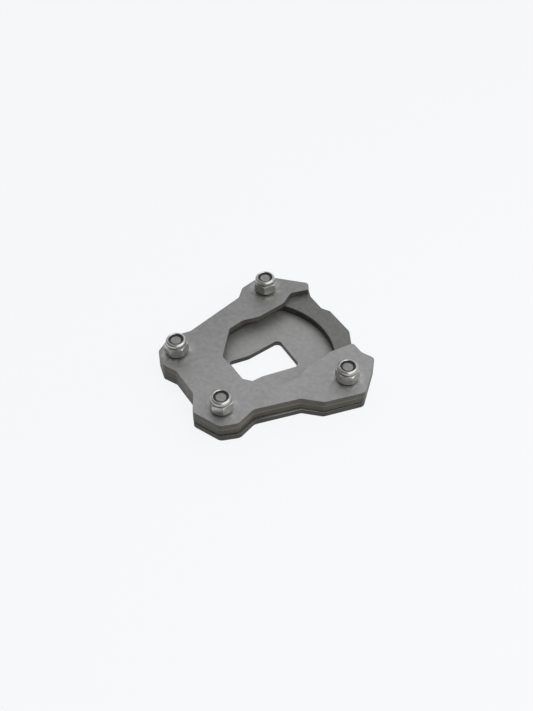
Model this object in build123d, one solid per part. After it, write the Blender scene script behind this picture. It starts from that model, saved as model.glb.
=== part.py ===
from build123d import *
import os
from math import cos, pi, radians, sin, tan

# Side-stand foot enlarger: three flat plates held together by four countersunk screws with tall lock nuts.
# Millimetres. +Z up, the underside on z = 0, the toe end towards -Y, the open end of the fork towards +Y.
# Plan sizes count from the toe bolts' row and the centre line; the origin ends under the outline's middle.

# Main sizes
TOE_SPAN = 42.5       # between the toe bolts
REAR_SPAN = 72.5      # between the rear bolts
ROW_GAP = 59.25       # from the toe bolts' row to the rear bolts' row
BASE_T = 3.0          # base plate, bottom of the stack
SPACER_T = 4.0        # pocket plate, as thick as the stand's own foot
CLAMP_T = 3.0         # fork-shaped plate on top
EDGE_BREAK = 0.2      # broken edges of the cut profiles
HOLE_CLEARANCE = 0.4  # on the diameter

# Corners of the outline: x, y and radius, each measured from the bolt that it goes round
TOE_RIGHT = [(-5.3, -12.2, 2.5), (8.3, -6.1, 4.0), (11.4, 2.1, 4.0), (8.0, 12.2, 4.0)]
REAR_RIGHT = [(-1.1, -25.2, 3.0), (6.5, -17.2, 4.0), (11.6, 2.5, 3.0), (-3.8, 19.0, 2.5), (-10.4, 15.9, 3.0)]
REAR_LEFT = [(7.4, 21.5, 2.0), (-10.1, 4.0, 3.0), (-7.3, -9.3, 3.0), (-2.2, -14.3, 3.0)]
TOE_LEFT = [(-9.1, 12.5, 4.0), (-10.8, 1.9, 4.0), (-5.2, -7.4, 3.0), (4.0, -9.8, 2.5)]

# The base plate stands out a little from under the others on its right side
BASE_TOE_RIGHT = [(-4.8, -12.3, 2.5), (9.0, -6.3, 4.0), (12.3, 2.4, 4.0), (9.0, 12.1, 4.0)]
BASE_REAR_RIGHT = [(-0.3, -25.1, 3.0), (6.9, -17.6, 4.0), (11.8, 2.0, 3.0), (-3.8, 19.0, 2.5), (-10.4, 15.9, 3.0)]

# Notch in the toe end, between the two toe bolts, from the toe row
NOTCH_Y = -6.4
NOTCH_LEFT = 10.4
NOTCH_RIGHT = 6.0
NOTCH_R = 3.0

# Rear edge of the two lower plates, where it bridges the fork: x, y from the rear row, and radius
BRIDGE_RIGHT = [(18.0, 16.0, 3.0), (8.8, 21.0, 2.5)]
BRIDGE_LEFT = [(-8.2, 21.1, 2.5), (-12.2, 18.6, 3.0), (-22.5, 18.8, 3.0)]

# Inner contour of the fork: its two tips from the rear bolts, and its mouth round the toe from the toe row
TIP_RIGHT = [(-17.55, 16.0, 1.5), (-18.65, 2.8, 3.0), (-17.55, -0.2, 3.0)]
MOUTH = [
    (19.7, 48.3, 3.0), (23.3, 40.6, 3.0), (22.6, 28.4, 3.0), (10.1, 17.5, 3.0),
    (-7.0, 17.0, 3.0), (-21.5, 29.4, 2.0), (-23.1, 38.0, 6.0), (-21.0, 46.3, 8.0),
]
TIP_LEFT = [(13.35, 2.7, 3.0), (9.05, 9.7, 3.0), (11.65, 19.1, 1.0)]

# Pocket in the spacer: straight sides, mirrored, x and y from the toe row, and a rear wall that is an arc
POCKET_SIDE = [(25.3, 44.0), (23.4, 30.5), (10.0, 14.6)]
POCKET_REAR_R = 39.0
POCKET_REAR_X = -0.8    # its furthest point
POCKET_REAR_Y = 11.0    # from the rear row
POCKET_CORNER_R = 4.0
POCKET_PAST_REAR = 1.0  # how far the sides are drawn past the rear wall

# Window in the base plate: x, y from the toe row, and radius
WINDOW = [(-8.1, 49.6, 2.5), (12.1, 49.0, 2.5), (8.5, 29.7, 6.0), (8.7, 20.9, 2.0), (-8.3, 20.9, 1.5),
          (-6.5, 31.2, 8.0)]

# Countersunk screws
THREAD_DIA = 6.0
HEAD_DIA = 12.0        # countersink where it meets the underside
HEAD_RECESS = 0.2      # the heads lie this far inside the underside
HEAD_LAND = 0.12
SOCKET_AF = 4.0
SOCKET_DEPTH = 2.3
TIP_CHAMFER = 0.6
TIP_BELOW_RIM = 0.7    # screw end below the top of the nut

# Tall lock nuts
NUT_H = 8.7
NUT_WALL = 2.0         # thread to flat
NUT_HEX_H = 6.2
NUT_SEAT_INSET = 0.7   # bearing face inside the flats
NUT_SEAT_DEG = 50.0    # steep chamfer under the corners
NUT_TOP_INSET = 0.1    # top of the hexagon inside the flats
NUT_TOP_DEG = 30.0     # flat chamfer over the corners
NUT_THREAD_SLACK = 0.1
RING_WALL = 0.95
RING_H = 2.2
RING_HOLD = 0.4        # how far the rolled rim reaches in over the ring
COLLAR_WALL = 1.0
COLLAR_WAIST = 0.2     # foot of the collar inside its widest part
ROLL = 0.95            # height and width of the rolled shoulder

# Turn of each nut about its screw, as the photograph shows them
NUT_TURN_DEG = {"toe_left": 2.0, "toe_right": 40.5, "rear_left": 24.0, "rear_right": 51.0}

os.makedirs("parts", exist_ok=True)

STACK = BASE_T + SPACER_T + CLAMP_T
THREAD_R = THREAD_DIA / 2
BOLTS = {
    "toe_left": (-TOE_SPAN / 2, 0),
    "toe_right": (TOE_SPAN / 2, 0),
    "rear_left": (-REAR_SPAN / 2, ROW_GAP),
    "rear_right": (REAR_SPAN / 2, ROW_GAP),
}


def around(bolt, corners):
    """Corners measured from a bolt, in the part's plan."""
    x, y = BOLTS[bolt]
    return [(x + dx, y + dy, r) for dx, dy, r in corners]


def from_rear(corners):
    """Corners measured from the rear bolts' row, in the part's plan."""
    return [(x, ROW_GAP + dy, r) for x, dy, r in corners]


def profile(corners):
    """Flat face through rounded corners."""
    line = FilletPolyline(*[(x, y) for x, y, r in corners], radius=[r for x, y, r in corners], close=True)
    return make_face(line)


def right_flank(toe=TOE_RIGHT, rear=REAR_RIGHT):
    notch = [(NOTCH_RIGHT, NOTCH_Y, NOTCH_R)]
    return notch + around("toe_right", toe) + around("rear_right", rear)


def left_flank():
    notch = [(-NOTCH_LEFT, NOTCH_Y, NOTCH_R)]
    return around("rear_left", REAR_LEFT) + around("toe_left", TOE_LEFT) + notch


def bridged(flank):
    """Outline of a lower plate, from its right flank over the rear edge to the left flank."""
    return profile(flank + from_rear(BRIDGE_RIGHT + BRIDGE_LEFT) + left_flank())


def fork_profile():
    """Outline of the clamp, round its right tip, its mouth and its left tip."""
    inner = around("rear_right", TIP_RIGHT) + MOUTH + around("rear_left", TIP_LEFT)
    return profile(right_flank() + inner + left_flank())


def pocket_profile():
    """Straight toe and sides, and a rear wall that bulges outwards."""
    rear = ROW_GAP + POCKET_REAR_Y
    right = [(POCKET_SIDE[0][0], rear + POCKET_PAST_REAR)] + POCKET_SIDE
    left = [(-x, y) for x, y in reversed(right)]
    bulge = Pos(POCKET_REAR_X, rear - POCKET_REAR_R) * Circle(POCKET_REAR_R)
    pocket = make_face(Polyline(*right, *left, close=True)) & bulge
    return fillet(pocket.vertices(), POCKET_CORNER_R)


def cut_plate(face, thickness, z):
    """Plate cut from sheet, with its edges broken, lying on height z."""
    plate = extrude(face, thickness)
    rims = plate.faces().sort_by(Axis.Z)
    plate = chamfer(rims[0].edges() + rims[-1].edges(), EDGE_BREAK)
    return Pos(0, 0, z) * plate


def bolt_cutter():
    """Clearance hole through the stack, with the countersink at the underside."""
    sink = Cone(HEAD_DIA / 2, 0, HEAD_DIA / 2, align=(Align.CENTER, Align.CENTER, Align.MIN))
    hole = Cylinder((THREAD_DIA + HOLE_CLEARANCE) / 2, STACK, align=(Align.CENTER, Align.CENTER, Align.MIN))
    return sink + hole


def drilled(plate):
    for x, y in BOLTS.values():
        plate -= Pos(x, y, 0) * bolt_cutter()
    return plate


def screw():
    """Countersunk socket screw, head down, its end just inside the nut's rim."""
    end = STACK + NUT_H - TIP_BELOW_RIM
    head_r = HEAD_DIA / 2 - HEAD_RECESS - HEAD_LAND
    half = Polyline(
        (0, HEAD_RECESS), (head_r, HEAD_RECESS), (head_r, HEAD_RECESS + HEAD_LAND),
        (THREAD_R, HEAD_DIA / 2 - THREAD_R), (THREAD_R, end - TIP_CHAMFER), (THREAD_R - TIP_CHAMFER, end),
        (0, end), close=True)
    body = revolve(Plane.XZ * make_face(half), Axis.Z)
    socket = extrude(RegularPolygon(SOCKET_AF / 2, 6, major_radius=False), SOCKET_DEPTH)
    return body - Pos(0, 0, HEAD_RECESS) * socket


def ring_radius():
    return THREAD_R + RING_WALL


def ring_top():
    return NUT_H - TIP_BELOW_RIM


def nut():
    """Hexagon with chamfered corners, and a collar rolled in over the locking ring."""
    flat = THREAD_R + NUT_WALL
    corner = flat / cos(pi / 6)
    rise = tan(radians(NUT_SEAT_DEG)) * (corner - flat + NUT_SEAT_INSET)
    fall = tan(radians(NUT_TOP_DEG)) * (corner - flat + NUT_TOP_INSET)
    hexagon = extrude(RegularPolygon(flat, 6, major_radius=False), NUT_HEX_H)
    envelope = Polyline(
        (0, 0), (flat - NUT_SEAT_INSET, 0), (corner, rise), (corner, NUT_HEX_H - fall),
        (flat - NUT_TOP_INSET, NUT_HEX_H), (0, NUT_HEX_H), close=True)
    body = hexagon & revolve(Plane.XZ * make_face(envelope), Axis.Z)
    body += revolve(Plane.XZ * make_face(collar()), Axis.Z)

    thread = THREAD_R + NUT_THREAD_SLACK / 2
    shoulder = ring_top() - RING_H
    lip = ring_radius() - RING_HOLD
    inside = Polyline(
        (0, 0), (thread, 0), (thread, shoulder), (ring_radius(), shoulder), (ring_radius(), ring_top()),
        (lip, ring_top()), (lip, NUT_H), (0, NUT_H), close=True)
    return body - revolve(Plane.XZ * make_face(inside), Axis.Z)


def collar():
    """Half section of the collar: waisted at its foot, its shoulder rolled in three bends."""
    widest = ring_radius() + COLLAR_WALL
    bends = [(widest - ROLL * (1 - cos(turn)), NUT_H - ROLL * (1 - sin(turn)))
             for turn in (0, pi / 6, pi / 3, pi / 2)]
    return Polyline((0, NUT_HEX_H), (widest - COLLAR_WAIST, NUT_HEX_H), *bends, (0, NUT_H), close=True)


def locking_ring():
    """Nylon ring, held between the shoulder and the rolled rim, gripping the thread and its chamfered end."""
    grip = RING_H - TIP_CHAMFER
    band = Polyline(
        (THREAD_R, 0), (ring_radius(), 0), (ring_radius(), RING_H), (THREAD_R - TIP_CHAMFER, RING_H),
        (THREAD_R, grip), close=True)
    return Pos(0, 0, ring_top() - RING_H) * revolve(Plane.XZ * make_face(band), Axis.Z)


nodes = {}
base = bridged(right_flank(BASE_TOE_RIGHT, BASE_REAR_RIGHT)) - profile(WINDOW)
nodes["base_plate"] = drilled(cut_plate(base, BASE_T, 0))
nodes["spacer_plate"] = drilled(cut_plate(bridged(right_flank()) - pocket_profile(), SPACER_T, BASE_T))
nodes["clamp_plate"] = drilled(cut_plate(fork_profile(), CLAMP_T, BASE_T + SPACER_T))

for name, (x, y) in BOLTS.items():
    nodes["screw_" + name] = Pos(x, y, 0) * screw()
    nodes["nut_" + name] = Pos(x, y, STACK) * Rot(0, 0, NUT_TURN_DEG[name]) * nut()
    nodes["lock_ring_" + name] = Pos(x, y, STACK) * locking_ring()

middle = base.bounding_box().center()
for name, solid in nodes.items():
    export_step(Pos(-middle.X, -middle.Y, 0) * solid, "parts/" + name + ".step")
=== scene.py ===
import math

import bmesh
import bpy
from mathutils import Matrix, Vector


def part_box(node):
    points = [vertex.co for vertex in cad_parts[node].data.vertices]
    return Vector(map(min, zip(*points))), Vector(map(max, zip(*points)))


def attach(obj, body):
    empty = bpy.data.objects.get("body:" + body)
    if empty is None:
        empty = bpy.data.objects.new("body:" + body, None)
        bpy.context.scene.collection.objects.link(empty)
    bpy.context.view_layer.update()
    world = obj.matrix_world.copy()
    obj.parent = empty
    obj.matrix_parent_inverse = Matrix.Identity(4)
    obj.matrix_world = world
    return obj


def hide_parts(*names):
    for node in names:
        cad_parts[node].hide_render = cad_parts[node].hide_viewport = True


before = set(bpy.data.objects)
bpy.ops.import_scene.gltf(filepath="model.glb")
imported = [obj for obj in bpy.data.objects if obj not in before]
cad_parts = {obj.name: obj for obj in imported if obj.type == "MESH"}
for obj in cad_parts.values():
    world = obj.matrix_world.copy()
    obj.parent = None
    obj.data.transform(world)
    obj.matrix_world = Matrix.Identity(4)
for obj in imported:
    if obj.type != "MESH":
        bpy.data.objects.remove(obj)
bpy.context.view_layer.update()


# Camera: a normal lens half a metre away, right of the toe and 46 degrees up. The part stands small in the
# middle of a tall frame.
VIEW_TURN = math.radians(58)
VIEW_RISE = math.radians(46.3)
VIEW_DISTANCE = 0.4926
VIEW_TARGET = Vector((-0.005244, 0.006015, 0))
LENS = 50.63
FILM_HEIGHT = 36

view = bpy.data.cameras.new("view")
view.sensor_fit = "VERTICAL"
view.sensor_height = FILM_HEIGHT
view.lens = LENS
view.clip_start = 0.01
camera = bpy.data.objects.new("view", view)
reach = math.cos(VIEW_RISE)
towards_camera = Vector((math.sin(VIEW_TURN) * reach, -math.cos(VIEW_TURN) * reach, math.sin(VIEW_RISE)))
camera.location = VIEW_TARGET + VIEW_DISTANCE * towards_camera
camera.rotation_euler = towards_camera.to_track_quat("Z", "Y").to_euler()
bpy.context.scene.collection.objects.link(camera)
bpy.context.scene.camera = camera


# Base plate: 3 mm stainless sheet, laser cut and then tumbled, so its faces are matt and its cut edges keep
# a dark, finely ribbed skin. The screws come up through it, the stand's foot rests on it, and dirt has
# darkened the ledge that stands out from under the other plates.
MM = 0.001
SEATS = ("toe_left", "toe_right", "rear_left", "rear_right")
BASE_RIMS = (0.0, 3.0 * MM)
SHEET_LIGHT = (0.500, 0.500, 0.490, 1)
SHEET_DARK = (0.235, 0.235, 0.228, 1)
SHEET_SHIFT = (0.3, 0.1, 0)
# Painted light and shade: the tone of the sheet's faces ramps from the left side to the right.
SHEET_PAINTED_LIGHT_RAMP = (0.33, 0.25)
PAINTED_LIGHT_REACH = (-28 * MM, 6 * MM)
SCRATCHES = ((0.35, 0.05), (1.45, 0.07), (2.5, 0.04))
SCRATCH_COLOUR = (0.5, 0.5, 0.49, 1)
# Rings round the bolts: spanner wear, and in part a painted reflection of the nuts' light on the plate.
RUBBED_IN = (5.3 * MM, 6.2 * MM)
RUBBED_OUT = (6.6 * MM, 9.2 * MM)
RUBBED_AND_SHEEN_COLOUR = (0.56, 0.56, 0.55, 1)
MIDDLE = Vector((0.0, 10.0 * MM, 0.0))
LEDGE_REACH = (39 * MM, 43 * MM)
LEDGE_DIRT = 0.62
EDGE_LIGHT = (0.086, 0.082, 0.070, 1)
EDGE_DARK = (0.045, 0.043, 0.037, 1)
# Painted shade: the walls that look towards the middle take this darker copy of the wall finish.
SHADED_INNER_LIGHT = (0.084, 0.079, 0.067, 1)
SHADED_INNER_DARK = (0.042, 0.039, 0.034, 1)
# Painted shade with some soot: dark lines on the cut walls at the gaps between the sheets.
LOWER_SEAM_SHADE = (3.15 * MM, 0.32 * MM)
UPPER_SEAM_SHADE = (7.12 * MM, 0.10 * MM)
SEAM_SHADE_CORE = 0.55
SEAM_SHADE_AND_DIRT_COLOUR = (0.045, 0.043, 0.038, 1)
# Painted highlight: a bright line on the cut walls along the spacer's top.
PAINTED_HIGHLIGHT_LINE = (6.80 * MM, 0.55 * MM)
PAINTED_HIGHLIGHT_SHARE = 0.32
PAINTED_HIGHLIGHT_COLOUR = (0.42, 0.41, 0.37, 1)


def put(tree, kind, inputs=None, **settings):
    """Adds a node. Each input is given a value, or the output that feeds it."""
    made = tree.nodes.new(kind)
    for key, value in settings.items():
        setattr(made, key, value)
    for key, value in (inputs or {}).items():
        if isinstance(value, bpy.types.NodeSocket):
            tree.links.new(value, made.inputs[key])
        else:
            made.inputs[key].default_value = value
    return made


def finish(name, metallic):
    """A new material: its node tree, its surface shader and the piece's own coordinates."""
    material = bpy.data.materials.new(name)
    material.use_nodes = True
    tree = material.node_tree
    shader = tree.nodes["Principled BSDF"]
    shader.inputs["Metallic"].default_value = metallic
    return material, tree, shader, put(tree, "ShaderNodeTexCoord").outputs["Object"]


def noise(tree, where, scale, detail, stretch=None, turn=(0, 0, 0), shift=(0, 0, 0)):
    """Noise between 0 and 1, with marks about 1/scale metres wide, drawn out along the small stretch."""
    if stretch:
        where = put(tree, "ShaderNodeMapping", {
            "Vector": where, "Location": shift, "Rotation": turn, "Scale": stretch}).outputs["Vector"]
    made = put(tree, "ShaderNodeTexNoise", {"Vector": where, "Scale": scale, "Detail": detail})
    return made.outputs["Fac"]


def between(tree, value, low, high, out_low=0.0, out_high=1.0):
    """Maps low..high to out_low..out_high, held at both ends."""
    made = put(tree, "ShaderNodeMapRange", {
        "Value": value, "From Min": low, "From Max": high, "To Min": out_low, "To Max": out_high})
    return made.outputs["Result"]


def spread(tree, pattern, low, high):
    """Maps the middle range of a noise, where nearly all of it lies, to low..high."""
    return between(tree, pattern, 0.3, 0.7, low, high)


def blend(tree, amount, first, second):
    """Mixes two colours by an amount between 0 and 1."""
    made = put(tree, "ShaderNodeMix", data_type="RGBA")
    for socket, value in ((made.inputs[0], amount), (made.inputs[6], first), (made.inputs[7], second)):
        if isinstance(value, bpy.types.NodeSocket):
            tree.links.new(value, socket)
        else:
            socket.default_value = value
    return made.outputs[2]


def maths(tree, how, made, *others):
    """Joins a value with each of the others in turn."""
    for other in others:
        made = put(tree, "ShaderNodeMath", {0: made, 1: other}, operation=how).outputs[0]
    return made


def off_level(tree, height, level):
    """How far a height is from a level, above or below it."""
    return maths(tree, "ABSOLUTE", maths(tree, "SUBTRACT", height, level), 0)


def distance(tree, first, second):
    made = put(tree, "ShaderNodeVectorMath", {0: first, 1: second}, operation="DISTANCE")
    return made.outputs["Value"]


def relief(tree, shader, height, depth, strength):
    """Raises the surface by a height between 0 and 1."""
    bump = put(tree, "ShaderNodeBump", {"Height": height, "Distance": depth, "Strength": strength})
    tree.links.new(bump.outputs["Normal"], shader.inputs["Normal"])


def bolt_axis(seat):
    """Where a bolt's axis meets the ground, read from the locking ring in its nut."""
    low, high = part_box("lock_ring_" + seat)
    return (low.x + high.x) / 2, (low.y + high.y) / 2, 0


def round_the_bolts(tree, where):
    """Between 0 and 1: bright, broken rings round the four bolt axes: spanner wear, and in part a painted
    reflection of the nuts' light on the plate.
    """
    level = put(tree, "ShaderNodeVectorMath", {0: where, 1: (1, 1, 0)}, operation="MULTIPLY")
    nearest = 1.0
    for seat in SEATS:
        nearest = maths(tree, "MINIMUM", nearest, distance(tree, level.outputs["Vector"], bolt_axis(seat)))
    inside = between(tree, nearest, *RUBBED_IN)
    outside = between(tree, nearest, *RUBBED_OUT, 1, 0)
    broken = between(tree, noise(tree, where, 260, 3), 0.42, 0.62)
    return maths(tree, "MULTIPLY", inside, outside, broken)


def tumbled_face(name, light, dark, shift, painted_light_ramp, dirt=0.0):
    """Matt face of tumbled sheet: clouds, mottling, fine grain and short scratches that lie every way.
    Painted light and shade ramp its tone from the left side to the right, and dirt darkens what lies far
    from the middle."""
    material, tree, shader, where = finish(name, metallic=0.75)
    cloud = noise(tree, where, 60, 3, stretch=(1, 1, 1), shift=shift)
    mottle = noise(tree, where, 420, 6, stretch=(1, 1, 1), shift=shift)
    grain = noise(tree, where, 2400, 5)
    lines = 0.0
    for turn, length in SCRATCHES:
        line = noise(tree, where, 2200, 2, stretch=(length, 1, 0.2), turn=(0, 0, turn), shift=shift)
        lines = maths(tree, "ADD", lines, between(tree, line, 0.60, 0.72))
    across = put(tree, "ShaderNodeSeparateXYZ", {"Vector": where}).outputs["X"]
    # Painted light and shade: the last term ramps the tone from the left side to the right.
    tone = maths(tree, "ADD", spread(tree, cloud, 0.0, 0.14), spread(tree, grain, 0.0, 0.13),
                 spread(tree, mottle, 0.0, 0.20), between(tree, across, *PAINTED_LIGHT_REACH, *painted_light_ramp))
    colour = blend(tree, tone, dark, light)
    colour = blend(tree, maths(tree, "MULTIPLY", lines, 0.10), colour, SCRATCH_COLOUR)
    # Spanner wear, and in part a painted reflection of the nuts' light on the plate.
    rubbed = round_the_bolts(tree, where)
    colour = blend(tree, maths(tree, "MULTIPLY", rubbed, 0.5), colour, RUBBED_AND_SHEEN_COLOUR)
    if dirt:
        far_out = between(tree, distance(tree, where, MIDDLE), *LEDGE_REACH, 0, dirt)
        colour = blend(tree, far_out, colour, SEAM_SHADE_AND_DIRT_COLOUR)
    tree.links.new(colour, shader.inputs["Base Color"])
    rough = maths(tree, "ADD", spread(tree, cloud, 0.50, 0.56), spread(tree, grain, -0.03, 0.03))
    rough = maths(tree, "SUBTRACT", rough, maths(tree, "MULTIPLY", rubbed, 0.12))
    tree.links.new(rough, shader.inputs["Roughness"])
    height = maths(tree, "SUBTRACT", grain, maths(tree, "MULTIPLY", lines, 0.5))
    relief(tree, shader, height, depth=0.03 * MM, strength=0.35)
    return material


def cut_edge(name, light, dark):
    """Laser-cut wall: fine upright ribs, coarser drag marks and brownish oxide, with dark seams between the
    sheets that are painted shade with some soot, and a painted highlight as a bright line along the spacer's
    top."""
    material, tree, shader, where = finish(name, metallic=0.45)
    ribs = noise(tree, where, 1900, 3, stretch=(1, 1, 0.05))
    drag = noise(tree, where, 900, 3, stretch=(1, 1, 0.35))
    stain = noise(tree, where, 140, 3)
    height = put(tree, "ShaderNodeSeparateXYZ", {"Vector": where}).outputs["Z"]
    tone = maths(tree, "ADD", maths(tree, "MULTIPLY", ribs, 0.2), maths(tree, "MULTIPLY", stain, 0.8))
    colour = blend(tree, between(tree, tone, 0.35, 0.65), dark, light)
    # Painted shade with some soot: dark seam lines at the gaps between the sheets.
    for seam, half in (LOWER_SEAM_SHADE, UPPER_SEAM_SHADE):
        shade = between(tree, off_level(tree, height, seam), half * SEAM_SHADE_CORE, half, 1, 0)
        colour = blend(tree, shade, colour, SEAM_SHADE_AND_DIRT_COLOUR)
    # Painted highlight: a bright line along the spacer's top.
    highlight_height, half = PAINTED_HIGHLIGHT_LINE
    shine = between(tree, off_level(tree, height, highlight_height), half * 0.5, half, PAINTED_HIGHLIGHT_SHARE, 0)
    tree.links.new(blend(tree, shine, colour, PAINTED_HIGHLIGHT_COLOUR), shader.inputs["Base Color"])
    tree.links.new(spread(tree, stain, 0.42, 0.58), shader.inputs["Roughness"])
    relief(tree, shader, maths(tree, "ADD", ribs, drag), depth=0.05 * MM, strength=0.6)
    return material


def dressed_plate(node, name, worn_rims, finishes):
    """Closed copy of a cut plate, in three finishes: for its faces and the rims at the heights in worn_rims,
    for its outer walls, and for the walls that look towards the middle, which carry painted shade on the
    lower plates and painted light on the clamp's lips."""
    mesh = bpy.data.meshes.new(name)
    bm = bmesh.new()
    bm.from_mesh(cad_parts[node].data)
    bmesh.ops.remove_doubles(bm, verts=bm.verts, dist=0.002 * MM)
    bmesh.ops.dissolve_limit(bm, angle_limit=math.radians(0.4), verts=bm.verts, edges=bm.edges)
    for face in bm.faces:
        face.smooth = True
        centre = face.calc_center_median()
        flat = abs(face.normal.z) > 0.95
        rim = abs(face.normal.z) > 0.4 and any(abs(centre.z - height) < 0.3 * MM for height in worn_rims)
        inner = face.normal.dot(MIDDLE - centre) > 0
        face.material_index = 0 if flat or rim else 2 if inner else 1
    bm.to_mesh(mesh)
    bm.free()
    for material in finishes:
        mesh.materials.append(material)
    piece = bpy.data.objects.new(name, mesh)
    bpy.context.scene.collection.objects.link(piece)
    softened = piece.modifiers.new("softened rims", "WEIGHTED_NORMAL")
    softened.weight = 90
    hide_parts(node)
    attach(piece, "root")


base_face = tumbled_face("tumbled_base", SHEET_LIGHT, SHEET_DARK, SHEET_SHIFT, SHEET_PAINTED_LIGHT_RAMP, LEDGE_DIRT)
base_edge = cut_edge("base_cut_edge", EDGE_LIGHT, EDGE_DARK)
# Painted shade: a darker copy of the wall finish for the walls that look towards the middle.
shaded_inner_edge = cut_edge("inner_cut_edge_painted_shade", SHADED_INNER_LIGHT, SHADED_INNER_DARK)
dressed_plate("base_plate", "base_sheet", BASE_RIMS, (base_face, base_edge, shaded_inner_edge))


# Spacer plate: the same sheet, 4 mm thick, with the pocket for the stand's foot cut through it. It shows as
# a ledge at the open end, darker than the other two plates.
SPACER_RIMS = (7.0 * MM,)
SPACER_LIGHT = (0.300, 0.300, 0.290, 1)
SPACER_DARK = (0.085, 0.085, 0.080, 1)
SPACER_SHIFT = (0.7, 0.4, 0)
SPACER_DRIFT = (0.26, 0.26)
SPACER_EDGE_LIGHT = (0.119, 0.110, 0.088, 1)
SPACER_EDGE_DARK = (0.065, 0.060, 0.047, 1)

spacer_face = tumbled_face("tumbled_spacer", SPACER_LIGHT, SPACER_DARK, SPACER_SHIFT, SPACER_DRIFT)
spacer_edge = cut_edge("spacer_cut_edge", SPACER_EDGE_LIGHT, SPACER_EDGE_DARK)
dressed_plate("spacer_plate", "spacer_sheet", SPACER_RIMS, (spacer_face, spacer_edge, shaded_inner_edge))


# Clamp plate: 3 mm fork of the same sheet on top. Its inner contour overhangs the pocket and holds the foot
# down, and the cut walls of these lips have painted light: a lighter copy of the wall finish than the walls
# below.
CLAMP_RIMS = (10.0 * MM,)
CLAMP_LIGHT = (0.462, 0.462, 0.455, 1)
CLAMP_DARK = (0.181, 0.181, 0.176, 1)
CLAMP_SHIFT = (0.2, 0.9, 0)
# Painted light: the clamp's top ramps lighter towards its right side.
CLAMP_PAINTED_LIGHT_RAMP = (0.17, 0.39)
CLAMP_EDGE_LIGHT = (0.143, 0.137, 0.121, 1)
CLAMP_EDGE_DARK = (0.083, 0.080, 0.069, 1)
# Painted light: the lips' walls take this lighter copy of the wall finish.
LIP_EDGE_PAINTED_LIT_LIGHT = (0.171, 0.157, 0.137, 1)
LIP_EDGE_PAINTED_LIT_DARK = (0.090, 0.081, 0.068, 1)

clamp_face = tumbled_face("tumbled_clamp", CLAMP_LIGHT, CLAMP_DARK, CLAMP_SHIFT, CLAMP_PAINTED_LIGHT_RAMP)
clamp_edge = cut_edge("clamp_cut_edge", CLAMP_EDGE_LIGHT, CLAMP_EDGE_DARK)
# Painted light: a lighter copy of the wall finish for the clamp's lips.
painted_lit_lip_edge = cut_edge("lip_cut_edge_painted_lit", LIP_EDGE_PAINTED_LIT_LIGHT, LIP_EDGE_PAINTED_LIT_DARK)
dressed_plate("clamp_plate", "clamp_sheet", CLAMP_RIMS, (clamp_face, clamp_edge, painted_lit_lip_edge))


# Screws: four M6 countersunk socket screws of stainless steel, put in from below. The thread is rolled, so
# it is one long groove with rounded roots, and the cut end shows in the middle of each nut. Sizes are in
# millimetres from the screw's axis and from the ground.
THREAD_R = 3.0
THREAD_PITCH = 1.0
THREAD_DEPTH = 0.55
THREAD_FLANKS = (0.10, 0.85)
THREAD_START = 4.0
THREAD_STEP = 0.12
SCREW_END = 18.0
TIP_CHAMFER = 0.6
HEAD_R = 5.68
HEAD_FOOT = 0.2
HEAD_LAND = 0.12
HEAD_EASE = (0.1, 0.08)
SOCKET_FLAT = 2.0
SOCKET_CORNER = 2.28
SOCKET_DEPTH = 2.3
SOCKET_CHAMFER = 0.15
DRILL_R = 1.7
DRILL_DEPTH = 0.9
SCREW_STEPS = 72
SCREW_CRISP = 32
SCREW_TURNS = {"toe_left": 12, "toe_right": 47, "rear_left": 33, "rear_right": 5}
SCREW_DARK = (0.20, 0.20, 0.19, 1)
SCREW_LIGHT = (0.36, 0.36, 0.35, 1)
WRAP_R = 5.0


def hex_radius(angle, flat, corner):
    """Distance from the axis to a hexagon with its corners rubbed down, in millimetres."""
    off = (angle + math.pi / 6) % (math.pi / 3) - math.pi / 6
    off = math.pi / 6 - abs(off)
    return min(flat / math.cos(off), corner)


def steps_round(count):
    """Even angles round the axis."""
    return [2 * math.pi * step / count for step in range(count)]


def turned(name, outline, angles, closed):
    """Closed mesh round the z axis. outline(angle) gives its (radius, height) points in millimetres. The map
    UVMap runs round the piece at one radius and along its outline, in metres."""
    rows = [outline(angle) for angle in angles]
    count, points = len(rows), len(rows[0])
    along = [0.0]
    for first, second in zip(rows[0], rows[0][1:] + rows[0][:1]):
        along.append(along[-1] + MM * math.dist(first, second))
    bm = bmesh.new()
    verts = [[bm.verts.new((MM * r * math.cos(a), MM * r * math.sin(a), MM * z)) for r, z in row]
             for a, row in zip(angles, rows)]
    uv = bm.loops.layers.uv.new("UVMap")
    ends = list(angles[1:]) + [angles[0] + 2 * math.pi]
    for i in range(count):
        here, there = verts[i], verts[(i + 1) % count]
        for j in range(points if closed else points - 1):
            k = (j + 1) % points
            face = bm.faces.new((here[j], there[j], there[k], here[k]))
            face.smooth = True
            places = ((angles[i], j), (ends[i], j), (ends[i], j + 1), (angles[i], j + 1))
            for loop, (a, v) in zip(face.loops, places):
                loop[uv].uv = (WRAP_R * MM * a, along[v])
    bmesh.ops.remove_doubles(bm, verts=bm.verts, dist=0.001 * MM)
    bmesh.ops.recalc_face_normals(bm, faces=bm.faces)
    mesh = bpy.data.meshes.new(name)
    bm.to_mesh(mesh)
    bm.free()
    piece = bpy.data.objects.new(name, mesh)
    bpy.context.scene.collection.objects.link(piece)
    return piece


def crisp(mesh, degrees):
    """Keeps the edges sharp that turn by more than this."""
    bm = bmesh.new()
    bm.from_mesh(mesh)
    for line in bm.edges:
        line.smooth = line.calc_face_angle(0) < math.radians(degrees)
    bm.to_mesh(mesh)
    bm.free()


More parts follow.
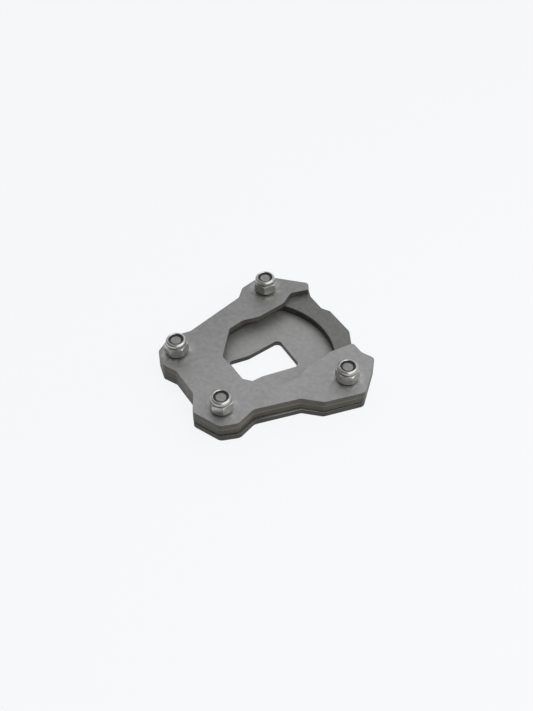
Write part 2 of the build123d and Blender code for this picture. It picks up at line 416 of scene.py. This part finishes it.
def bolt_pattern(turns):
    """A point on each of the four bolt axes, with the turn of what stands on it."""
    mesh = bpy.data.meshes.new("bolt_pattern")
    mesh.from_pydata([bolt_axis(seat) for seat in turns], [], [])
    mesh.attributes.new("turn", "FLOAT", "POINT").data.foreach_set(
        "value", [math.radians(angle) for angle in turns.values()])
    pattern = bpy.data.objects.new("bolt_pattern", mesh)
    bpy.context.scene.collection.objects.link(pattern)
    return pattern


def socket(tree, name, kind, way="INPUT"):
    return tree.interface.new_socket(name, in_out=way, socket_type="NodeSocket" + kind)


def new_tree(name, sizes=()):
    """A geometry tree that takes a piece, the bolt pattern and named sizes."""
    tree = bpy.data.node_groups.new(name, "GeometryNodeTree")
    socket(tree, "Geometry", "Geometry")
    socket(tree, "Bolt pattern", "Object")
    for size in sizes:
        socket(tree, size, "Float")
    socket(tree, "Geometry", "Geometry", "OUTPUT")
    put(tree, "NodeGroupInput").name = "Group Input"
    return tree


def set_on_bolts(tree, piece, material):
    """Ends a tree: one copy of the piece on each bolt axis, made real, in one material."""
    given = tree.nodes["Group Input"]
    pattern = put(tree, "GeometryNodeObjectInfo", {"Object": given.outputs["Bolt pattern"]})
    turn = put(tree, "GeometryNodeInputNamedAttribute", {"Name": "turn"}, data_type="FLOAT")
    rotation = put(tree, "FunctionNodeAxisAngleToRotation", {
        "Axis": (0, 0, 1), "Angle": turn.outputs["Attribute"]})
    copies = put(tree, "GeometryNodeInstanceOnPoints", {
        "Points": pattern.outputs["Geometry"], "Instance": piece, "Rotation": rotation.outputs["Rotation"]})
    real = put(tree, "GeometryNodeRealizeInstances", {"Geometry": copies.outputs["Instances"]})
    painted = put(tree, "GeometryNodeSetMaterial", {
        "Geometry": real.outputs["Geometry"], "Material": material})
    put(tree, "NodeGroupOutput", {"Geometry": painted.outputs["Geometry"]})


def run_tree(piece, tree, name, values):
    """Runs the tree on the piece and gives the result as a plain mesh object."""
    modifier = piece.modifiers.new(tree.name, "NODES")
    modifier.node_group = tree
    for item in tree.interface.items_tree:
        if item.name in values and item.in_out == "INPUT":
            modifier[item.identifier] = values[item.name]
    bpy.context.view_layer.update()
    result = bpy.data.meshes.new_from_object(piece.evaluated_get(bpy.context.evaluated_depsgraph_get()))
    result.name = name
    made = bpy.data.objects.new(name, result)
    bpy.context.scene.collection.objects.link(made)
    bpy.data.objects.remove(piece)
    bpy.data.objects.remove(values["Bolt pattern"])
    return made


def screw_outline(angle):
    """From the drill's cone in the socket, over the head and the shank, to the chamfered end."""
    socket_r = hex_radius(angle, SOCKET_FLAT, SOCKET_CORNER)
    socket_top = HEAD_FOOT + SOCKET_DEPTH
    ease_in, ease_up = HEAD_EASE
    start = HEAD_FOOT + HEAD_LAND + HEAD_R - THREAD_R
    end = SCREW_END - TIP_CHAMFER
    steps = int((end - start) / THREAD_STEP)
    points = [(0, socket_top + DRILL_DEPTH), (DRILL_R, socket_top + 0.1), (socket_r, socket_top),
              (socket_r, HEAD_FOOT + SOCKET_CHAMFER), (socket_r + SOCKET_CHAMFER, HEAD_FOOT),
              (HEAD_R - ease_in, HEAD_FOOT), (HEAD_R, HEAD_FOOT + ease_up), (HEAD_R, HEAD_FOOT + HEAD_LAND)]
    points += [(THREAD_R, start + (end - start) * step / steps) for step in range(steps + 1)]
    points += [(THREAD_R - TIP_CHAMFER * step / 5, end + TIP_CHAMFER * step / 5) for step in range(1, 6)]
    return points + [(THREAD_R - TIP_CHAMFER - 0.1, SCREW_END), (0, SCREW_END)]


def rolled_thread(name, material):
    """Geometry tree: presses one long groove into the shank, then sets a screw on each bolt axis."""
    tree = new_tree(name, ("Pitch", "Depth", "Radius", "First turn", "Last turn"))
    given = tree.nodes["Group Input"].outputs
    geometry, pitch, first_turn = given["Geometry"], given["Pitch"], given["First turn"]

    def sum_of(how, first, second=0.0, third=0.0):
        return put(tree, "ShaderNodeMath", {0: first, 1: second, 2: third}, operation=how).outputs[0]

    position = put(tree, "GeometryNodeInputPosition").outputs["Position"]
    place = put(tree, "ShaderNodeSeparateXYZ", {"Vector": position}).outputs
    x, y, z = place["X"], place["Y"], place["Z"]
    radius = sum_of("SQRT", sum_of("ADD", sum_of("MULTIPLY", x, x), sum_of("MULTIPLY", y, y)))
    around = sum_of("DIVIDE", sum_of("ARCTAN2", y, x), 2 * math.pi)
    phase = sum_of("FRACT", sum_of("SUBTRACT", sum_of("DIVIDE", z, pitch), around))
    vee = sum_of("SUBTRACT", 1.0, sum_of("ABSOLUTE", sum_of("MULTIPLY_ADD", phase, 2.0, -1.0)))
    crest, root = THREAD_FLANKS
    groove = put(tree, "ShaderNodeMapRange", {"Value": vee, "From Min": crest, "From Max": root},
                 interpolation_type="SMOOTHSTEP").outputs["Result"]
    lead = put(tree, "ShaderNodeMapRange", {
        "Value": z, "From Min": first_turn, "From Max": sum_of("ADD", first_turn, pitch)}).outputs["Result"]
    depth = sum_of("MULTIPLY", sum_of("MULTIPLY", groove, lead), given["Depth"])
    wanted = sum_of("MINIMUM", radius, sum_of("SUBTRACT", given["Radius"], depth))
    scale = sum_of("DIVIDE", wanted, sum_of("MAXIMUM", radius, 1e-6))
    moved = put(tree, "ShaderNodeCombineXYZ", {
        "X": sum_of("MULTIPLY", x, scale), "Y": sum_of("MULTIPLY", y, scale), "Z": z})
    above = put(tree, "FunctionNodeCompare", {"A": z, "B": first_turn},
                data_type="FLOAT", operation="GREATER_THAN").outputs["Result"]
    below = put(tree, "FunctionNodeCompare", {"A": z, "B": given["Last turn"]},
                data_type="FLOAT", operation="LESS_THAN").outputs["Result"]
    threaded = put(tree, "FunctionNodeBooleanMath", {0: above, 1: below}, operation="AND").outputs["Boolean"]
    pressed = put(tree, "GeometryNodeSetPosition", {
        "Geometry": geometry, "Selection": threaded, "Position": moved.outputs["Vector"]})
    set_on_bolts(tree, pressed.outputs["Geometry"], material)
    return tree


def screw_steel():
    """Turned and rolled stainless with a dull, faintly clouded surface."""
    material, tree, shader, where = finish("screw_end", metallic=0.9)
    cloud = noise(tree, where, 900, 3)
    surface = maths(tree, "ADD", cloud, noise(tree, where, 4200, 3))
    colour = blend(tree, between(tree, surface, 0.7, 1.3), SCREW_DARK, SCREW_LIGHT)
    tree.links.new(colour, shader.inputs["Base Color"])
    tree.links.new(spread(tree, cloud, 0.36, 0.5), shader.inputs["Roughness"])
    relief(tree, shader, surface, depth=0.04 * MM, strength=0.5)
    return material


one_screw = turned("one_screw", screw_outline, steps_round(SCREW_STEPS), closed=False)
crisp(one_screw.data, SCREW_CRISP)
screws = run_tree(one_screw, rolled_thread("rolled_thread", screw_steel()), "screws", {
    "Bolt pattern": bolt_pattern(SCREW_TURNS), "Pitch": THREAD_PITCH * MM, "Depth": THREAD_DEPTH * MM,
    "Radius": THREAD_R * MM, "First turn": THREAD_START * MM, "Last turn": (SCREW_END - 0.01) * MM})
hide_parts(*["screw_" + seat for seat in SCREW_TURNS])
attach(screws, "root")


# Locking rings: a black nylon ring in the collar of each nut, which the screw's thread has cut its way into.
# It swells round the chamfered end of the screw and fills the collar up to that end.
RING_IN = 3.0
RING_OUT = 3.94
RING_FOOT = 15.82
RING_TOP = 18.0
RING_STEPS = 64
RING_CRISP = 40
RING_TURNS = dict.fromkeys(SEATS, 0)
NYLON_DARK = (0.006, 0.006, 0.007, 1)
NYLON_LIGHT = (0.022, 0.022, 0.023, 1)


def ring_outline(angle):
    """The same all round: a chamfered top that closes in over the screw's chamfer."""
    hugged = RING_IN - TIP_CHAMFER
    return [(RING_IN, RING_FOOT), (RING_OUT, RING_FOOT), (RING_OUT, RING_TOP - 0.05),
            (RING_OUT - 0.4, RING_TOP), (hugged + 0.35, RING_TOP), (hugged + 0.16, RING_TOP - 0.03),
            (hugged + 0.14, RING_TOP - 0.1), (RING_IN, RING_TOP - TIP_CHAMFER - 0.02)]


def black_nylon():
    """Moulded nylon, nearly black and faintly uneven."""
    material, tree, shader, where = finish("black_nylon", metallic=0.0)
    cloud = noise(tree, where, 1500, 3)
    tree.links.new(blend(tree, cloud, NYLON_DARK, NYLON_LIGHT), shader.inputs["Base Color"])
    tree.links.new(spread(tree, cloud, 0.4, 0.6), shader.inputs["Roughness"])
    relief(tree, shader, cloud, depth=0.04 * MM, strength=0.4)
    return material


def one_on_each_bolt(name, material):
    """A tree that does nothing to its piece but set it on the bolts."""
    tree = new_tree(name)
    set_on_bolts(tree, tree.nodes["Group Input"].outputs["Geometry"], material)
    return tree


one_ring = turned("one_ring", ring_outline, steps_round(RING_STEPS), closed=True)
crisp(one_ring.data, RING_CRISP)
ring_tree = one_on_each_bolt("ring_in_each_collar", black_nylon())
rings = run_tree(one_ring, ring_tree, "locking_rings", {"Bolt pattern": bolt_pattern(RING_TURNS)})
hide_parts(*["lock_ring_" + seat for seat in RING_TURNS])
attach(rings, "root")


# Nuts: four tall lock nuts of bright stainless, M6, 10 mm across the flats. The hexagon is pressed and its
# corners are turned off top and bottom, and the thin collar above it is rolled in over the ring. Heights are
# in millimetres from the nut's own foot.
NUT_FOOT = 10.0
NUT_FLAT = 5.0
NUT_CORNER = 5.70
NUT_SEAT_R = 4.3
HEX_TOP_R = 4.90
HEX_HEIGHT = 6.2
FOOT_SLOPE = math.tan(math.radians(50))
HEAD_SLOPE = math.tan(math.radians(30))
BORE_R = 3.05
BORE_CHAMFER = 0.35
RING_SEAT = 5.8
GROOVE_R = 3.95
WAIST_R = 4.75
LIP_R = 3.55
LIP_FOOT = 8.0
SHOULDER = ((4.95, 7.0), (4.95, 7.62), (4.80, 8.0), (4.20, 8.56), (3.85, 8.718), (LIP_R, 8.42))
EASE = 0.05
NUT_CRISP = 24
NUT_TURNS = {"toe_left": 2, "toe_right": 40.5, "rear_left": 24, "rear_right": 51}
NUT_DARK = (0.44, 0.435, 0.42, 1)
NUT_LIGHT = (0.55, 0.545, 0.53, 1)
NUT_STAIN = (0.47, 0.428, 0.36, 1)
# Painted shade: near black at the nut's foot and in the crease of its waist.
NUT_PAINTED_SHADE = (0.018, 0.017, 0.015, 1)
PAINTED_SHADE_FOOT = (10.3 * MM, 11.1 * MM)
WAIST_CREASE_HEIGHT = 16.3 * MM


def eased(line, ease):
    """Splits each inner corner of a line in two, this far before and after it."""
    points = [line[0]]
    for before, corner, after in zip(line, line[1:], line[2:]):
        for end in (before, after):
            share = ease / math.dist(corner, end)
            points.append(tuple(c + (e - c) * share for c, e in zip(corner, end)))
    return points + [line[-1]]


def nut_outline(angle):
    """From the bore, over the foot, the hexagon, the waist and the collar, down to the ring's seat."""
    hexagon = hex_radius(angle, NUT_FLAT, NUT_CORNER)
    foot = FOOT_SLOPE * (hexagon - NUT_SEAT_R)
    head = HEX_HEIGHT - HEAD_SLOPE * (hexagon - HEX_TOP_R)
    points = [(BORE_R, BORE_CHAMFER), (BORE_R + BORE_CHAMFER, 0.0), (NUT_SEAT_R, 0.0),
              (hexagon - EASE, foot - 0.02), (hexagon, foot + EASE),
              (hexagon, head - EASE), (hexagon - EASE, head + 0.02),
              (HEX_TOP_R, HEX_HEIGHT), (WAIST_R + 0.06, HEX_HEIGHT + 0.02),
              (WAIST_R, HEX_HEIGHT + 0.12), (WAIST_R + 0.08, HEX_HEIGHT + 0.45)]
    points += eased(SHOULDER, EASE)
    return points + [(LIP_R + 0.02, LIP_FOOT), (GROOVE_R, LIP_FOOT),
                     (GROOVE_R, RING_SEAT), (BORE_R, RING_SEAT)]


def nut_angles():
    """Fifteen angles to a side, the first and the last where its rubbed corners begin."""
    side = math.pi / 3
    corner = (math.pi / 6 - math.acos(NUT_FLAT / NUT_CORNER)) / side
    shares = [corner + (1 - 2 * corner) * step / 14 for step in range(15)]
    return [side * (number + share) for number in range(6) for share in shares]


def bright_nut():
    """Bright stainless: pressing marks on the flats, fine turning lines round the collar and the rim, a warm
    stain below the waist, and painted shade at the foot, where it meets the plate, and in the crease of the
    waist."""
    material, tree, shader, where = finish("bright_nut", metallic=1.0)
    wrap = put(tree, "ShaderNodeUVMap", uv_map="UVMap").outputs["UV"]
    lines = noise(tree, wrap, 5000, 2, stretch=(0.03, 1, 1))
    cloud = noise(tree, where, 300, 3)
    grain = noise(tree, where, 3200, 3)
    tone = maths(tree, "ADD", spread(tree, cloud, 0, 0.6), spread(tree, lines, 0, 0.4))
    steel = blend(tree, tone, NUT_DARK, NUT_LIGHT)
    height = put(tree, "ShaderNodeSeparateXYZ", {"Vector": where}).outputs["Z"]
    patches = between(tree, noise(tree, where, 190, 3), 0.46, 0.66, 0, 0.75)
    under_waist = between(tree, height, WAIST_CREASE_HEIGHT - 0.6 * MM, WAIST_CREASE_HEIGHT, 1, 0)
    steel = blend(tree, maths(tree, "MULTIPLY", patches, under_waist), steel, NUT_STAIN)
    # Painted shade: dark at the foot, where the nut meets the plate, and in the crease of the waist.
    at_foot = between(tree, height, *PAINTED_SHADE_FOOT, 1, 0)
    in_waist = between(tree, off_level(tree, height, WAIST_CREASE_HEIGHT), 0.1 * MM, 0.35 * MM, 0.4, 0)
    painted_shade = maths(tree, "MAXIMUM", at_foot, in_waist)
    tree.links.new(blend(tree, painted_shade, steel, NUT_PAINTED_SHADE), shader.inputs["Base Color"])
    rough = maths(tree, "ADD", spread(tree, cloud, 0.24, 0.32), spread(tree, grain, 0, 0.05))
    tree.links.new(rough, shader.inputs["Roughness"])
    ridges = maths(tree, "ADD", maths(tree, "MULTIPLY", lines, 0.4), maths(tree, "MULTIPLY", grain, 0.6))
    relief(tree, shader, ridges, depth=0.02 * MM, strength=0.25)
    return material


one_nut = turned("one_nut", nut_outline, nut_angles(), closed=True)
one_nut.data.transform(Matrix.Translation((0, 0, NUT_FOOT * MM)))
crisp(one_nut.data, NUT_CRISP)
nut_tree = one_on_each_bolt("nut_on_each_screw", bright_nut())
nuts = run_tree(one_nut, nut_tree, "lock_nuts", {"Bolt pattern": bolt_pattern(NUT_TURNS)})
nuts.modifiers.new("softened edges", "WEIGHTED_NORMAL").keep_sharp = True
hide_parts(*["nut_" + seat for seat in NUT_TURNS])
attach(nuts, "root")


# Floor and light: a plain pale floor in a pale room, as the camera and all mirrored rays see them. The room
# lights the part from high behind, and its darker side, which the nuts mirror, keeps their near flats dark.
# The main light is one broad soft box on the right.
PALE = (0.949, 0.958, 0.976, 1)
FLOOR_GREY = (0.42, 0.42, 0.42, 1)
FLOOR_REACH = 3.0
FLOOR_DROP = 0.03 * MM
GLOW_SHARE = 0.92
BACKDROP_LIGHT = 0.98
BRIGHT_SIDE = (-0.55, 0.60, 0.58)
ROOM_TURN = (0.1, 0.9)
ROOM_LIGHT = (0.13, 1.0)
MIRRORED_LIGHT = (0.28, 0.95)
LAMP_PLACE = Vector((0.310, 0.143, 0.363))
LAMP_WIDTH = 0.72
LAMP_HEIGHT = 0.30
LAMP_POWER = 1.16


def mirrored(tree, ray):
    """1 for a ray that a polished surface or glass sends on."""
    return maths(tree, "MAXIMUM", ray["Is Glossy Ray"], ray["Is Transmission Ray"])


corners = [(x * FLOOR_REACH, y * FLOOR_REACH, -FLOOR_DROP) for x, y in ((-1, -1), (1, -1), (1, 1), (-1, 1))]
floor_mesh = bpy.data.meshes.new("floor")
floor_mesh.from_pydata(corners, [], [(0, 1, 2, 3)])
floor = bpy.data.objects.new("floor", floor_mesh)
bpy.context.scene.collection.objects.link(floor)
paper = bpy.data.materials.new("pale_floor")
paper.use_nodes = True
tree = paper.node_tree
tree.nodes.clear()
ray = put(tree, "ShaderNodeLightPath").outputs
lit = put(tree, "ShaderNodeBsdfDiffuse", {"Color": FLOOR_GREY}).outputs["BSDF"]
shown = put(tree, "ShaderNodeBsdfDiffuse", {"Color": PALE}).outputs["BSDF"]
glow = put(tree, "ShaderNodeEmission", {"Color": PALE, "Strength": 1.0}).outputs["Emission"]
pale = put(tree, "ShaderNodeMixShader", {0: GLOW_SHARE, 1: shown, 2: glow}).outputs["Shader"]
seen = maths(tree, "MAXIMUM", ray["Is Camera Ray"], mirrored(tree, ray))
mixed = put(tree, "ShaderNodeMixShader", {0: seen, 1: lit, 2: pale}).outputs["Shader"]
put(tree, "ShaderNodeOutputMaterial", {"Surface": mixed})
floor_mesh.materials.append(paper)

sky = bpy.data.worlds.new("studio")
sky.use_nodes = True
tree = sky.node_tree
tree.nodes.clear()
ray = put(tree, "ShaderNodeLightPath").outputs
way = put(tree, "ShaderNodeTexCoord").outputs["Generated"]
facing = put(tree, "ShaderNodeVectorMath", {0: way, 1: BRIGHT_SIDE}, operation="DOT_PRODUCT")
towards = facing.outputs["Value"]


def room_seen(colour, strength):
    return put(tree, "ShaderNodeBackground", {"Color": colour, "Strength": strength}).outputs["Background"]


room = room_seen((1, 1, 1, 1), between(tree, towards, *ROOM_TURN, *ROOM_LIGHT))
mirrored_room = room_seen(PALE, between(tree, towards, *ROOM_TURN, *MIRRORED_LIGHT))
backdrop = room_seen(PALE, BACKDROP_LIGHT)
lights = put(tree, "ShaderNodeMixShader", {0: mirrored(tree, ray), 1: room, 2: mirrored_room})
mixed = put(tree, "ShaderNodeMixShader", {
    0: ray["Is Camera Ray"], 1: lights.outputs["Shader"], 2: backdrop}).outputs["Shader"]
put(tree, "ShaderNodeOutputWorld", {"Surface": mixed})
bpy.context.scene.world = sky

lamp = bpy.data.lights.new("right", "AREA")
lamp.shape = "RECTANGLE"
lamp.size = LAMP_WIDTH
lamp.size_y = LAMP_HEIGHT
lamp.energy = LAMP_POWER
soft_box = bpy.data.objects.new("right", lamp)
soft_box.location = LAMP_PLACE
soft_box.rotation_euler = LAMP_PLACE.to_track_quat("Z", "Y").to_euler()
bpy.context.scene.collection.objects.link(soft_box)

bpy.context.scene.view_settings.view_transform = "Standard"
